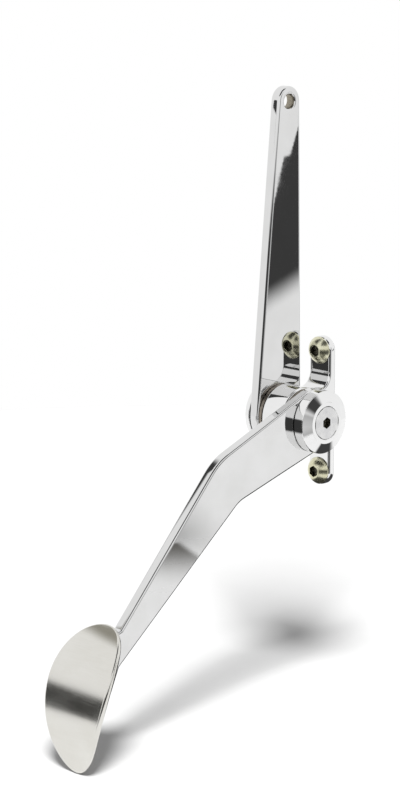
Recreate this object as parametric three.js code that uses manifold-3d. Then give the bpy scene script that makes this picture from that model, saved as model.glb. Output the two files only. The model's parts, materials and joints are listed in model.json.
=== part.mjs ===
// Firewall-mounted throttle pedal: a machined pivot bracket carries a bushed shaft, with a bent
// pedal arm and its spoon-shaped pad on one end and a tall cable lever on the other.
//
// Millimetres, +Z up. X runs along the pivot shaft, towards the pedal arm; -Y points at the
// driver. The origin is the centre of the bracket's flat back face, which lies on the firewall.

import * as THREE from 'three';
import { mergeVertices } from 'three/addons/utils/BufferGeometryUtils.js';
import Module from 'manifold-3d';

const wasm = await Module();
wasm.setup();

// ---------------------------------------------------------------- driving dimensions

const GAP = 0.25;                    // clearance kept between neighbouring pieces
const SEGMENTS = 40;                 // facets round a full turn
const OVERCUT = 1;                   // how far a cutting tool runs past the face it cuts

const PIVOT_Y = -18.8;               // pivot axis in front of the firewall face
const BRACKET_WIDTH = 11.5;
const EAR_THICKNESS = 3.5;
const EAR_SPACING = 50;              // between the two mounting screws
const BARREL_RADIUS = 12.5;
const EAR_FILLET = 6;                // radius of the hollow between ear and barrel

const SHAFT_RADIUS = 6.35;
const SHAFT_FLAT = 4.7;              // half width across the driving flats
const BUSHING_WALL = 1.35;
const FLANGE_RADIUS = 12.2;

const PLATE_THICKNESS = 4.75;        // pedal arm and lever
const HUB_RADIUS = 12.7;
const PLATE_INNER_X = 7.6;           // inner face of each plate from the mid-plane
const PLATE_OUTER_X = PLATE_INNER_X + PLATE_THICKNESS;

const LEVER_EYE = { y: 4.75, z: 125.9 };
const LEVER_EYE_RADIUS = 6.05;
const CABLE_HOLE_RADIUS = 2.7;

const KNEE_TOP = { y: -54.1, z: -8 };
const KNEE_BOTTOM = { y: -42.5, z: -26.3 };
const KNEE_TOP_RADIUS = 26;
const KNEE_BOTTOM_RADIUS = 14;
const ARM_END_TOP = { y: -106, z: -65.4 };
const ARM_END_BOTTOM = { y: -107.1, z: -79.8 };
const TOE = { y: -111.6, z: -90 };
const TOE_RADIUS = 2.5;

const SPOON_BEND_RADIUS = 47.9;      // front surface, curved about an axis along X
const SPOON_THICKNESS = 3.2;
const SPOON_WIDTH = 32.8;
const SPOON_BEND_AXIS = { y: -82.8, z: -101 };
const SPOON_TOP_ANGLE = 54.1;        // degrees above the driver's direction
const SPOON_BOTTOM_ANGLE = -20.7;
const SPOON_EGG = 0.16;              // how much fuller the upper half is
const SPOON_ROWS = 32;               // facets from the top tip to the bottom tip
const FOOT_TOP_ANGLE = 50;           // where the arm's foot meets the back of the spoon
const FOOT_BOTTOM_ANGLE = 14.3;

const CAP_BEVEL = 1.6;
const CAP_FACE_RADIUS = 8.4;
const PEDAL_CAP_FACE_X = 18.7;
const LEVER_CAP_FACE_X = 16.2;

const SCREW_RADIUS = 3.175;          // quarter-inch thread
const FLAT_HEAD_RADIUS = 6.55;
const FLAT_HEAD_HALF_ANGLE = 41;     // degrees, of an 82 degree countersink
const PEDAL_CAP_SCREW_LENGTH = 15.9;
const LEVER_CAP_SCREW_LENGTH = 12.7;
const TAPPED_DEPTH = 11;
const BUTTON_HEAD_RADIUS = 5.55;
const BUTTON_HEAD_HEIGHT = 2.9;
const BUTTON_RIM_HEIGHT = 0.1;
const BUTTON_CROWN_RADIUS = 2.6;     // flat top round the socket
const BUTTON_DOME_ROWS = 6;
const HEX_CORNER_RADIUS = 2.29;      // 5/32 inch key
const HEX_DEPTH = 2.2;

// ---------------------------------------------------------------- materials

const polished = { color: 0xd8d8da, roughness: 0.08, metalness: 1 };
const satinSteel = { color: 0xc4c4bf, roughness: 0.25, metalness: 1 };
const plainSteel = { color: 0x9a9a98, roughness: 0.35, metalness: 1 };
const yellowZinc = { color: 0xb9ad72, roughness: 0.3, metalness: 1 };
const bronze = { color: 0x9c7440, roughness: 0.5, metalness: 1 };

// ---------------------------------------------------------------- solids and booleans

function solidOf(geometry) {
  const bare = geometry.clone();
  bare.deleteAttribute('normal');
  bare.deleteAttribute('uv');
  const merged = mergeVertices(bare, 1e-4);
  return new wasm.Manifold(new wasm.Mesh({
    numProp: 3,
    vertProperties: new Float32Array(merged.attributes.position.array),
    triVerts: new Uint32Array(merged.index.array),
  }));
}

function geometryOf(solid) {
  const mesh = solid.getMesh();
  const geometry = new THREE.BufferGeometry();
  geometry.setAttribute('position', new THREE.BufferAttribute(mesh.vertProperties, 3));
  geometry.setIndex(new THREE.BufferAttribute(mesh.triVerts, 1));
  geometry.computeVertexNormals();
  return geometry;
}

const radians = THREE.MathUtils.degToRad;

// A shape drawn in (Y, Z) made into a plate that fills fromX..toX.
function plateAcrossX(shape, fromX, toX) {
  const geometry = new THREE.ExtrudeGeometry(shape, {
    depth: toX - fromX, bevelEnabled: false, curveSegments: SEGMENTS / 2,
  });
  const turn = new THREE.Matrix4().makeBasis(
    new THREE.Vector3(0, 1, 0), new THREE.Vector3(0, 0, 1), new THREE.Vector3(1, 0, 0));
  return geometry.applyMatrix4(turn).translate(fromX, 0, 0);
}

// A closed profile of [radius, x] points turned about the pivot axis.
function turnedAboutX(profile) {
  const points = profile.map(([radius, x]) => new THREE.Vector2(radius, x));
  return new THREE.LatheGeometry(points, SEGMENTS).rotateZ(-Math.PI / 2);
}

function rodAlongX(radius, fromX, toX) {
  return solidOf(turnedAboutX([[0, fromX], [radius, fromX], [radius, toX], [0, toX]]));
}

function rodAlongY(radius, fromY, toY, z) {
  const geometry = new THREE.CylinderGeometry(radius, radius, toY - fromY, SEGMENTS);
  return solidOf(geometry.translate(0, (fromY + toY) / 2, z));
}

function hexKeySocket(depth) {
  return new THREE.CylinderGeometry(HEX_CORNER_RADIUS, HEX_CORNER_RADIUS, depth, 6);
}

// ---------------------------------------------------------------- outline helpers

// Where an outside tangent from one circle to another touches them. side is +1 or -1.
function tangentPoints(from, fromRadius, to, toRadius, side) {
  const dy = to.y - from.y;
  const dz = to.z - from.z;
  const angle = Math.atan2(dz, dy) + side * Math.acos((fromRadius - toRadius) / Math.hypot(dy, dz));
  const at = (centre, radius) => ({
    y: centre.y + radius * Math.cos(angle), z: centre.z + radius * Math.sin(angle),
  });
  return { angle, start: at(from, fromRadius), end: at(to, toRadius) };
}

// Runs the path to a corner, rounds it, and leaves the path heading for the next point.
function roundedCorner(path, before, corner, after, radius) {
  const towards = (p) => new THREE.Vector2(p.y - corner.y, p.z - corner.z).normalize();
  const back = towards(before);
  const ahead = towards(after);
  const halfAngle = Math.acos(back.dot(ahead)) / 2;
  const setback = radius / Math.tan(halfAngle);
  const middle = back.clone().add(ahead).normalize().multiplyScalar(radius / Math.sin(halfAngle));
  const centre = new THREE.Vector2(corner.y, corner.z).add(middle);
  const start = new THREE.Vector2(corner.y, corner.z).addScaledVector(back, setback);
  const end = new THREE.Vector2(corner.y, corner.z).addScaledVector(ahead, setback);
  const startAngle = start.clone().sub(centre).angle();
  const endAngle = end.clone().sub(centre).angle();
  const clockwise = back.x * ahead.y - back.y * ahead.x > 0;
  path.lineTo(start.x, start.y);
  path.absarc(centre.x, centre.y, radius, startAngle, endAngle, clockwise);
}

const PIVOT = { y: 0, z: 0 };

// A round hole with two flats, which the ends of the shaft drive.
function flattedHole() {
  const radius = SHAFT_RADIUS + GAP;
  const flat = SHAFT_FLAT + GAP;
  const corner = Math.asin(flat / radius);
  const hole = new THREE.Path();
  hole.absarc(0, 0, radius, -corner, corner, false);
  hole.lineTo(-radius * Math.cos(corner), flat);
  hole.absarc(0, 0, radius, Math.PI - corner, Math.PI + corner, false);
  hole.closePath();
  return hole;
}

function roundHole(centre, radius) {
  const hole = new THREE.Path();
  hole.absarc(centre.y, centre.z, radius, 0, 2 * Math.PI, false);
  return hole;
}

// ---------------------------------------------------------------- the bracket and its bushings

// Side view of the bracket: a flat back, an ear above and below, and the barrel between them.
function bracketProfile() {
  const back = -PIVOT_Y;
  const front = back - EAR_THICKNESS;
  const earTip = EAR_SPACING / 2 + BRACKET_WIDTH / 2;
  const centreY = front - EAR_FILLET;
  const centreZ = Math.sqrt((BARREL_RADIUS + EAR_FILLET) ** 2 - centreY ** 2);
  const touch = Math.atan2(centreZ, centreY);
  const shape = new THREE.Shape();
  shape.moveTo(back, -earTip);
  shape.lineTo(back, earTip);
  shape.lineTo(front, earTip);
  shape.absarc(centreY, centreZ, EAR_FILLET, 0, touch - Math.PI, true);
  shape.absarc(0, 0, BARREL_RADIUS, touch, 2 * Math.PI - touch, false);
  shape.absarc(centreY, -centreZ, EAR_FILLET, Math.PI - touch, 0, true);
  shape.lineTo(front, -earTip);
  shape.closePath();
  return shape;
}

// Front view of the bracket: a straight bar with round ends.
function bracketFrontOutline() {
  const radius = BRACKET_WIDTH / 2;
  const shape = new THREE.Shape();
  shape.absarc(0, EAR_SPACING / 2, radius, 0, Math.PI, false);
  shape.absarc(0, -EAR_SPACING / 2, radius, Math.PI, 2 * Math.PI, false);
  shape.closePath();
  const depth = 2 * (BARREL_RADIUS - PIVOT_Y);
  const geometry = new THREE.ExtrudeGeometry(shape, {
    depth, bevelEnabled: false, curveSegments: SEGMENTS / 2,
  });
  return geometry.rotateX(Math.PI / 2).translate(0, depth / 2, 0);
}

function pivotBracket() {
  const side = BRACKET_WIDTH / 2 + OVERCUT;
  const bar = solidOf(plateAcrossX(bracketProfile(), -side, side));
  const boreRadius = SHAFT_RADIUS + GAP + BUSHING_WALL + GAP;
  let solid = bar.intersect(solidOf(bracketFrontOutline()));
  solid = solid.subtract(rodAlongX(boreRadius, -side, side));
  for (const z of [EAR_SPACING / 2, -EAR_SPACING / 2]) {
    solid = solid.subtract(rodAlongY(SCREW_RADIUS + GAP, 0, OVERCUT - PIVOT_Y, z));
  }
  return geometryOf(solid);
}

// Flanged bushing for the +X end of the barrel.
function flangedBushing() {
  const inner = SHAFT_RADIUS + GAP;
  const outer = inner + BUSHING_WALL;
  const barrelEnd = BRACKET_WIDTH / 2;
  return turnedAboutX([
    [inner, GAP], [outer, GAP], [outer, barrelEnd + GAP], [FLANGE_RADIUS, barrelEnd + GAP],
    [FLANGE_RADIUS, PLATE_INNER_X - GAP], [inner, PLATE_INNER_X - GAP], [inner, GAP],
  ]);
}

// ---------------------------------------------------------------- the moving pieces

// A round shaft with two flats and a tapped hole at each end.
function pivotShaft() {
  const end = PLATE_OUTER_X - GAP;
  const shoulder = PLATE_INNER_X - GAP;
  const flatLength = end - shoulder + OVERCUT;
  let solid = rodAlongX(SHAFT_RADIUS, -end, end);
  for (const side of [-1, 1]) {
    for (const flat of [-1, 1]) {
      const cutter = new THREE.BoxGeometry(flatLength, 2 * SHAFT_RADIUS, SHAFT_RADIUS);
      cutter.translate(side * (shoulder + flatLength / 2), 0, flat * (SHAFT_FLAT + SHAFT_RADIUS / 2));
      solid = solid.subtract(solidOf(cutter));
    }
  }
  solid = solid.subtract(rodAlongX(SCREW_RADIUS + GAP, end - TAPPED_DEPTH, end + OVERCUT));
  solid = solid.subtract(rodAlongX(SCREW_RADIUS + GAP, -end - OVERCUT, TAPPED_DEPTH - end));
  return geometryOf(solid);
}

// A tall plate that tapers from the hub up to the cable eye.
function throttleLever() {
  const front = tangentPoints(PIVOT, HUB_RADIUS, LEVER_EYE, LEVER_EYE_RADIUS, 1);
  const rear = tangentPoints(PIVOT, HUB_RADIUS, LEVER_EYE, LEVER_EYE_RADIUS, -1);
  const shape = new THREE.Shape();
  shape.absarc(0, 0, HUB_RADIUS, front.angle, rear.angle + 2 * Math.PI, false);
  shape.absarc(LEVER_EYE.y, LEVER_EYE.z, LEVER_EYE_RADIUS, rear.angle, front.angle, false);
  shape.closePath();
  shape.holes.push(flattedHole(), roundHole(LEVER_EYE, CABLE_HOLE_RADIUS));
  return plateAcrossX(shape, -PLATE_OUTER_X, -PLATE_INNER_X);
}

// A plate bent at the knee, ending in a foot hollowed to fit the back of the spoon.
function pedalArm() {
  const top = tangentPoints(PIVOT, HUB_RADIUS, KNEE_TOP, 0, -1);
  const bottom = tangentPoints(PIVOT, HUB_RADIUS, KNEE_BOTTOM, 0, 1);
  const footRadius = SPOON_BEND_RADIUS - SPOON_THICKNESS - GAP;
  const footPoint = (degrees) => ({
    y: SPOON_BEND_AXIS.y - footRadius * Math.cos(radians(degrees)),
    z: SPOON_BEND_AXIS.z + footRadius * Math.sin(radians(degrees)),
  });
  const footTop = footPoint(FOOT_TOP_ANGLE);
  const footBottom = footPoint(FOOT_BOTTOM_ANGLE);
  const shape = new THREE.Shape();
  shape.absarc(0, 0, HUB_RADIUS, bottom.angle - 2 * Math.PI, top.angle, false);
  roundedCorner(shape, top.start, KNEE_TOP, ARM_END_TOP, KNEE_TOP_RADIUS);
  shape.lineTo(ARM_END_TOP.y, ARM_END_TOP.z);
  shape.lineTo(footTop.y, footTop.z);
  shape.absarc(SPOON_BEND_AXIS.y, SPOON_BEND_AXIS.z, footRadius,
    Math.PI - radians(FOOT_TOP_ANGLE), Math.PI - radians(FOOT_BOTTOM_ANGLE), false);
  roundedCorner(shape, footBottom, TOE, ARM_END_BOTTOM, TOE_RADIUS);
  shape.lineTo(ARM_END_BOTTOM.y, ARM_END_BOTTOM.z);
  roundedCorner(shape, ARM_END_BOTTOM, KNEE_BOTTOM, bottom.start, KNEE_BOTTOM_RADIUS);
  shape.closePath();
  shape.holes.push(flattedHole());
  return plateAcrossX(shape, PLATE_INNER_X, PLATE_OUTER_X);
}

// An egg-shaped plate of even thickness, bent about an axis along X. Rows of four corners run
// from the top tip to the bottom tip, and each tip closes on one front and one back point.
function spoonPad() {
  const positions = [];
  const indices = [];
  const addPoint = (x, radius, angle) => {
    positions.push(x, SPOON_BEND_AXIS.y - radius * Math.cos(angle),
      SPOON_BEND_AXIS.z + radius * Math.sin(angle));
    return positions.length / 3 - 1;
  };
  const frontRadius = SPOON_BEND_RADIUS;
  const backRadius = SPOON_BEND_RADIUS - SPOON_THICKNESS;
  const middleAngle = radians(SPOON_TOP_ANGLE + SPOON_BOTTOM_ANGLE) / 2;
  const halfSweep = radians(SPOON_TOP_ANGLE - SPOON_BOTTOM_ANGLE) / 2;
  const ring = (row) => {
    const along = Math.cos(Math.PI * row / SPOON_ROWS);
    const angle = middleAngle + halfSweep * along;
    const halfWidth = SPOON_WIDTH / 2 * Math.sqrt(1 - along * along) * (1 + SPOON_EGG * along);
    return [
      addPoint(-halfWidth, frontRadius, angle), addPoint(halfWidth, frontRadius, angle),
      addPoint(halfWidth, backRadius, angle), addPoint(-halfWidth, backRadius, angle),
    ];
  };
  const tip = (angle) => {
    const front = addPoint(0, frontRadius, angle);
    const back = addPoint(0, backRadius, angle);
    return [front, front, back, back];
  };
  const rings = [tip(middleAngle + halfSweep)];
  for (let row = 1; row < SPOON_ROWS; row += 1) rings.push(ring(row));
  rings.push(tip(middleAngle - halfSweep));
  for (let row = 0; row < SPOON_ROWS; row += 1) {
    for (let side = 0; side < 4; side += 1) {
      const next = (side + 1) % 4;
      const [a, b] = [rings[row][side], rings[row][next]];
      const [c, d] = [rings[row + 1][side], rings[row + 1][next]];
      if (a !== b) indices.push(a, d, b);
      if (c !== d) indices.push(a, c, d);
    }
  }
  const geometry = new THREE.BufferGeometry();
  geometry.setAttribute('position', new THREE.Float32BufferAttribute(positions, 3));
  geometry.setIndex(indices);
  geometry.computeVertexNormals();
  return geometry.translate((PLATE_INNER_X + PLATE_OUTER_X) / 2, 0, 0);
}

// ---------------------------------------------------------------- caps and screws

const countersinkSlope = Math.tan(radians(FLAT_HEAD_HALF_ANGLE));

// Bevelled round cap on the +X side, bored and countersunk for its screw.
function endCap(faceX) {
  const backX = PLATE_OUTER_X + GAP;
  const hole = SCREW_RADIUS + GAP;
  const mouth = FLAT_HEAD_RADIUS + GAP;
  const coneRadius = Math.max(hole, mouth - (faceX - backX) * countersinkSlope);
  const coneX = faceX - (mouth - coneRadius) / countersinkSlope;
  const profile = [
    [coneRadius, backX], [HUB_RADIUS, backX], [HUB_RADIUS, faceX - CAP_BEVEL],
    [CAP_FACE_RADIUS, faceX], [mouth, faceX],
  ];
  if (coneX > backX) profile.push([coneRadius, coneX]);
  profile.push([coneRadius, backX]);
  return turnedAboutX(profile);
}

// Flat-head screw on the +X side, flush with the cap's face, with a hex socket.
function capScrew(faceX, length) {
  const headBottom = faceX - (FLAT_HEAD_RADIUS - SCREW_RADIUS) / countersinkSlope;
  const tip = faceX - length;
  const body = solidOf(turnedAboutX([
    [0, tip], [SCREW_RADIUS, tip], [SCREW_RADIUS, headBottom], [FLAT_HEAD_RADIUS, faceX], [0, faceX],
  ]));
  const socket = hexKeySocket(2 * HEX_DEPTH).rotateZ(-Math.PI / 2).translate(faceX, 0, 0);
  return geometryOf(body.subtract(solidOf(socket)));
}

// Button-head screw through an ear, head towards the driver, tip flush with the firewall face.
// The dome is part of a sphere from the rim of the head to the flat crown round the socket.
function mountingScrew() {
  const seat = -PIVOT_Y - EAR_THICKNESS - GAP;
  const crown = seat - BUTTON_HEAD_HEIGHT;
  const rise = BUTTON_HEAD_HEIGHT - BUTTON_RIM_HEIGHT;
  const sinkBelowRim = (BUTTON_HEAD_RADIUS ** 2 - BUTTON_CROWN_RADIUS ** 2 - rise ** 2) / (2 * rise);
  const centre = seat - BUTTON_RIM_HEIGHT + sinkBelowRim;
  const domeRadius = Math.hypot(BUTTON_HEAD_RADIUS, sinkBelowRim);
  const crownAngle = Math.asin(BUTTON_CROWN_RADIUS / domeRadius);
  const rimAngle = Math.asin(BUTTON_HEAD_RADIUS / domeRadius);
  const profile = [new THREE.Vector2(0, crown)];
  for (let step = 0; step <= BUTTON_DOME_ROWS; step += 1) {
    const angle = THREE.MathUtils.lerp(crownAngle, rimAngle, step / BUTTON_DOME_ROWS);
    const radius = domeRadius * Math.sin(angle);
    profile.push(new THREE.Vector2(radius, centre - domeRadius * Math.cos(angle)));
  }
  profile.push(
    new THREE.Vector2(BUTTON_HEAD_RADIUS, seat), new THREE.Vector2(SCREW_RADIUS, seat),
    new THREE.Vector2(SCREW_RADIUS, -PIVOT_Y), new THREE.Vector2(0, -PIVOT_Y));
  const body = solidOf(new THREE.LatheGeometry(profile, SEGMENTS));
  const socket = hexKeySocket(2 * HEX_DEPTH).translate(0, crown, 0);
  return geometryOf(body.subtract(solidOf(socket)));
}

// ---------------------------------------------------------------- assembly

const pedal = new THREE.Group();
const aboutPivot = new THREE.Group();
aboutPivot.position.y = PIVOT_Y;
pedal.add(aboutPivot);

function add(name, geometry, look) {
  const mesh = new THREE.Mesh(geometry, new THREE.MeshStandardMaterial(look));
  mesh.name = name;
  aboutPivot.add(mesh);
  return mesh;
}

// The same piece on the lever's side of the bracket is turned half a turn about Z.
function onLeverSide(mesh) {
  mesh.rotation.z = Math.PI;
}

add('pivot_bracket', pivotBracket(), polished);
add('pedal_side_bushing', flangedBushing(), bronze);
onLeverSide(add('lever_side_bushing', flangedBushing(), bronze));
add('pivot_shaft', pivotShaft(), plainSteel);
add('throttle_lever', throttleLever(), polished);
add('pedal_arm', pedalArm(), polished);
add('spoon_pad', spoonPad(), satinSteel);
add('pedal_side_cap', endCap(PEDAL_CAP_FACE_X), polished);
onLeverSide(add('lever_side_cap', endCap(LEVER_CAP_FACE_X), polished));
const pedalCapScrew = capScrew(PEDAL_CAP_FACE_X, PEDAL_CAP_SCREW_LENGTH);
const leverCapScrew = capScrew(LEVER_CAP_FACE_X, LEVER_CAP_SCREW_LENGTH);
add('pedal_side_cap_screw', pedalCapScrew, satinSteel);
onLeverSide(add('lever_side_cap_screw', leverCapScrew, satinSteel));
add('upper_mounting_screw', mountingScrew(), yellowZinc).position.z = EAR_SPACING / 2;
add('lower_mounting_screw', mountingScrew(), yellowZinc).position.z = -EAR_SPACING / 2;

export default pedal;
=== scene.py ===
"""Looks for the firewall-mounted throttle pedal.

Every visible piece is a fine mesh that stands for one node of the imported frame. Lengths in this file are
millimetres, in the frame's axes, until `build` turns them into metres. The pedal side is +X.
"""

import json
from math import acos, asin, atan2, ceil, cos, hypot, pi, radians, sin, sqrt, tan

import bmesh
import bpy
from mathutils import Matrix, Vector

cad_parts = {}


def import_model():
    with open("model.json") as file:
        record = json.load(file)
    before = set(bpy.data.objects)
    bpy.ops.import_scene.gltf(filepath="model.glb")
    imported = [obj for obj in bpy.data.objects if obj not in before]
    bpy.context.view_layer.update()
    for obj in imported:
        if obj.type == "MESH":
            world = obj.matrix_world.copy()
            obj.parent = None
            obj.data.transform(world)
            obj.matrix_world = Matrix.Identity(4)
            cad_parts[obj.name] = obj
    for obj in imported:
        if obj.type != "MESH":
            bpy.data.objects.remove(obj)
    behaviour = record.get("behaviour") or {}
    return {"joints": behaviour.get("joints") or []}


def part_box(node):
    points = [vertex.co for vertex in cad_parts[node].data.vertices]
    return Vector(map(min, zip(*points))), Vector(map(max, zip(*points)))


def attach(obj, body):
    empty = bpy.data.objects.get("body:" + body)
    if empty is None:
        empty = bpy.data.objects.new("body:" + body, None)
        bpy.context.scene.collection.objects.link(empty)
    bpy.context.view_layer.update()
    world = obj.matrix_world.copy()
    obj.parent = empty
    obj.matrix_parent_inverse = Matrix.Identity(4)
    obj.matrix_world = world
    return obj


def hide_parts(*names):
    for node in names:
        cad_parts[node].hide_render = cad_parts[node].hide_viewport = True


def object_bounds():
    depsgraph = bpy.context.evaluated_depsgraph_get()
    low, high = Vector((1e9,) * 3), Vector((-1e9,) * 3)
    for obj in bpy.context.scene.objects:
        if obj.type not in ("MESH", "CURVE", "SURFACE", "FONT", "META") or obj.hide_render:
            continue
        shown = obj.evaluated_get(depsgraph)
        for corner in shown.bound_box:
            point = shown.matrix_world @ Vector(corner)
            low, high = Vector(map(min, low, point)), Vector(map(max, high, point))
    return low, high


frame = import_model()
cad_low, cad_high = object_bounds()

MM = 0.001
TURN = 2 * pi
ROUND_STEPS = 144  # facets round a full turn; a multiple of 12, for the hex sockets
EDGE_STEPS = 6  # facets across a rounded edge
EDGE_ANGLES = [TURN / 4 * step / EDGE_STEPS for step in range(EDGE_STEPS + 1)]
SHARP_ANGLE = radians(32)  # faces that meet at more than this have a real edge between them


def size_of(node):
    """The lower and the upper corner of a CAD node's box, in millimetres."""
    low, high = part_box(node)
    return low / MM, high / MM


# ------------------------------ sizes
# A pair of numbers is a place, (y, z) from the pivot axis. Three are in the frame's axes, or a tone.

PIVOT_Y = frame["joints"][0]["pos_m"][1] / MM
HUB = Vector((0, PIVOT_Y, 0))  # the middle of the barrel
UP = Vector((0, 0, 1))

ARM_LOW, ARM_HIGH = size_of("pedal_arm")
LEVER_LOW, LEVER_HIGH = size_of("throttle_lever")
PEDAL_SCREW_LOW, PEDAL_SCREW_HIGH = size_of("pedal_side_cap_screw")
LEVER_SCREW_LOW, LEVER_SCREW_HIGH = size_of("lever_side_cap_screw")
BRACKET_HIGH = size_of("pivot_bracket")[1]
FLANGE_HIGH = size_of("pedal_side_bushing")[1]
PEDAL_CAP_HIGH = size_of("pedal_side_cap")[1]
LEVER_CAP_LOW = size_of("lever_side_cap")[0]

GAP = 0.25  # between parts that touch or turn in each other
HUB_RADIUS = PEDAL_CAP_HIGH.z
PLATE_EDGE = 1.1  # rounding of the plates' polished edges
ARM_MIDDLE_X = (ARM_LOW.x + ARM_HIGH.x) / 2

LEVER_EYE_RADIUS = 6.05
LEVER_EYE = (4.75, LEVER_HIGH.z - LEVER_EYE_RADIUS)
CABLE_HOLE_RADIUS = 2.7

KNEE_TOP = (-54.1, -8)
KNEE_TOP_RADIUS = 26
KNEE_BOTTOM = (-42.5, -26.3)
KNEE_BOTTOM_RADIUS = 14
ARM_END_TOP = (-106, -65.4)
ARM_END_BOTTOM = (-107.1, -79.8)
TOE = (-111.6, -90)
TOE_RADIUS = 2.5
FOOT_CORNER_RADIUS = 0.8
FOOT_TOP_ANGLE = radians(50)
FOOT_BOTTOM_ANGLE = radians(14.3)

SPOON_AXIS = (-82.8, -101)
SPOON_RADIUS = 47.9
SPOON_THICKNESS = 3.2
SPOON_BACK_RADIUS = SPOON_RADIUS - SPOON_THICKNESS
SPOON_WIDTH = 32.76
SPOON_EGG = 0.16  # how much wider its top half is
SPOON_TOP_ANGLE = radians(54.1)
SPOON_BOTTOM_ANGLE = radians(-20.7)
SPOON_MIDDLE_ANGLE = (SPOON_TOP_ANGLE + SPOON_BOTTOM_ANGLE) / 2
SPOON_FRONT_EDGE = 0.9  # rounding of the pad's rim, in front and behind
SPOON_BACK_EDGE = 2.0
SPOON_STEPS = 160
SPOON_RINGS = 24

WELD_LEG = 2.0
WELD_MIDDLE = 0.35  # its round section's middle and radius, as parts of the leg
WELD_ROUND = 0.62
WELD_CORNER_RADIUS = 0.6
WELD_STEP = 0.22
WELD_PITCH = 1.3
WELD_RIPPLE = 0.07
WELD_SIDES = 20

EAR_BACK = -PIVOT_Y  # on the firewall
EAR_THICKNESS = 3.5
EAR_FRONT = EAR_BACK - EAR_THICKNESS
EAR_FILLET = 6
EAR_HEIGHT = BRACKET_HIGH.z - BRACKET_HIGH.x
BARREL_RADIUS = 12.5
BORE_RADIUS = 8.2
SCREW_HOLE_RADIUS = 3.425
BRACKET_EDGE = 1.0
SEAT_RADIUS = 4.6  # flat ring round a screw hole, inside the rounded edge

SHAFT_RADIUS = size_of("pivot_shaft")[1].z
SHAFT_FLAT = 4.7
SHAFT_EDGE = 0.25
JOIN_DISTANCE = 0.01  # the CAD shaft's points closer than this become one
FLAT_CORNER_RADIUS = 0.4
FLANGE_RADIUS = FLANGE_HIGH.z
BUSHING_WALL = 1.35
FLANGE_LOW_X = BRACKET_HIGH.x + GAP  # the barrel's end and a gap

CAP_BEVEL = 1.6
CAP_FACE_RADIUS = 8.4
CAP_BACK = ARM_HIGH.x + GAP
SCREW_RADIUS = 3.175
FLAT_HEAD_RADIUS = PEDAL_SCREW_HIGH.z
COUNTERSINK_SLOPE = tan(radians(41))
BUTTON_HEAD_RADIUS = size_of("upper_mounting_screw")[1].x
BUTTON_HEAD_HEIGHT = 2.9
BUTTON_RIM_HEIGHT = 0.1
BUTTON_CROWN_RADIUS = 2.6
HEX_CORNER_RADIUS = 2.29
HEX_DEPTH = 2.2
HEX_CHAMFER = 0.12
HEX_POINT_RADIUS = 1.9
HEX_POINT_DEPTH = 0.7
THREAD_CHAMFER = 0.5
HEAD_EDGE = 0.12
CAP_EDGE = 0.3
BUSHING_EDGE = 0.2
DOME_STEPS = 14

CAMERA_PLACE = (790.8, -844.2, 247.2)
CAMERA_DIRECTION = (-0.6997, 0.6839, -0.2066)
CAMERA_LENS = 130.01
FLOOR_Z = cad_low.z / MM
FLOOR_MIDDLE_Y = -60
FLOOR_RADIUS = 600
FLOOR_SIDES = 96
FLOOR_TONE = 0.5
WORLD_FILL = 0.45  # the part of the white world that lights matt surfaces
KEY_STRENGTH = 6.6
KEY_SPREAD = radians(15)
KEY_DIRECTION = (0.42, -0.44, 0.80)

CARD_STEPS = 120
CARD_BLACK = (0.055, 0.055, 0.055)
LOW_RIGHT_TONE = (0.5, 0.5, 0.5)
ARM_CARD_TONE = (0.16, 0.155, 0.145)
PAD_CARD_TONE = (0.035, 0.035, 0.033)
SKY_CARD_TONE = (0.36, 0.35, 0.31)
ROOM_RADIUS = 800
CEILING_HEIGHT = 800
ROOM_BLUR = 30
SIDE_BLUR = 8  # in degrees
TABLE_LIFT = 0.4  # between the layers of sheets that lie on the table
ARM_CARD_LAYER = 5
UNDER_CARD_LAYER = 6
LEVER_CARD_DISTANCE = 600
ARM_CARD_TIP = (232, 118, FLOOR_Z + ARM_CARD_LAYER * TABLE_LIFT)
PAD_CARD_START = (10, -149, FLOOR_Z + 0.5)
PAD_CARD_DISTANCE = 219
PAD_FLAG_START = (10, -132.8, -64.6)
PAD_FLAG_DIRECTION = (-0.70, -0.10, 0.7071)
PAD_FLAG_DISTANCE = 20
ARM_FLAG_DISTANCE = 15
LEVER_FLAG_START = (-10, -31, 119.8)
LEVER_FLAG_DISTANCE = 60


# ------------------------------ outlines
# An outline is a closed list of (y, z, normal y, normal z), measured from the pivot axis. Neighbouring
# arcs meet on a common tangent, so every point has one outward normal and can be offset exactly.

def arc(centre, radius, start, end, outward=1):
    steps = max(4, ceil(abs(end - start) / TURN * ROUND_STEPS))
    points = []
    for step in range(steps + 1):
        angle = start + (end - start) * step / steps
        y, z = cos(angle), sin(angle)
        points.append((centre[0] + radius * y, centre[1] + radius * z, outward * y, outward * z))
    return points


def setback(before, at, after, radius):
    """How far from a corner its rounding starts."""
    back = Vector(before) - Vector(at)
    return radius / tan(back.angle(Vector(after) - Vector(at)) / 2)


def corner(before, at, after, radius):
    """A corner of a polygon that runs counterclockwise, rounded."""
    back = (Vector(before) - Vector(at)).normalized()
    ahead = (Vector(after) - Vector(at)).normalized()
    half = back.angle(ahead) / 2
    centre = Vector(at) + (back + ahead).normalized() * (radius / sin(half))
    start = Vector(at) + back * setback(before, at, after, radius) - centre
    turn = pi - 2 * half
    outward = 1 if back.x * ahead.y - back.y * ahead.x < 0 else -1
    first = atan2(start.y, start.x)
    return arc(centre, radius, first, first + outward * turn, outward)


def corners(run, radii):
    """The rounded corners along a run of points, between its two ends."""
    rounded = []
    for i, radius in enumerate(radii):
        rounded += corner(*run[i:i + 3], radius)
    return rounded


def tangent_angle(start, start_radius, end, end_radius, side):
    """Direction from both centres to where an outside tangent touches the two circles."""
    across = Vector(end) - Vector(start)
    return atan2(across.y, across.x) + side * acos((start_radius - end_radius) / across.length)


def on_circle(centre, radius, angle):
    return centre[0] + radius * cos(angle), centre[1] + radius * sin(angle)


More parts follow.
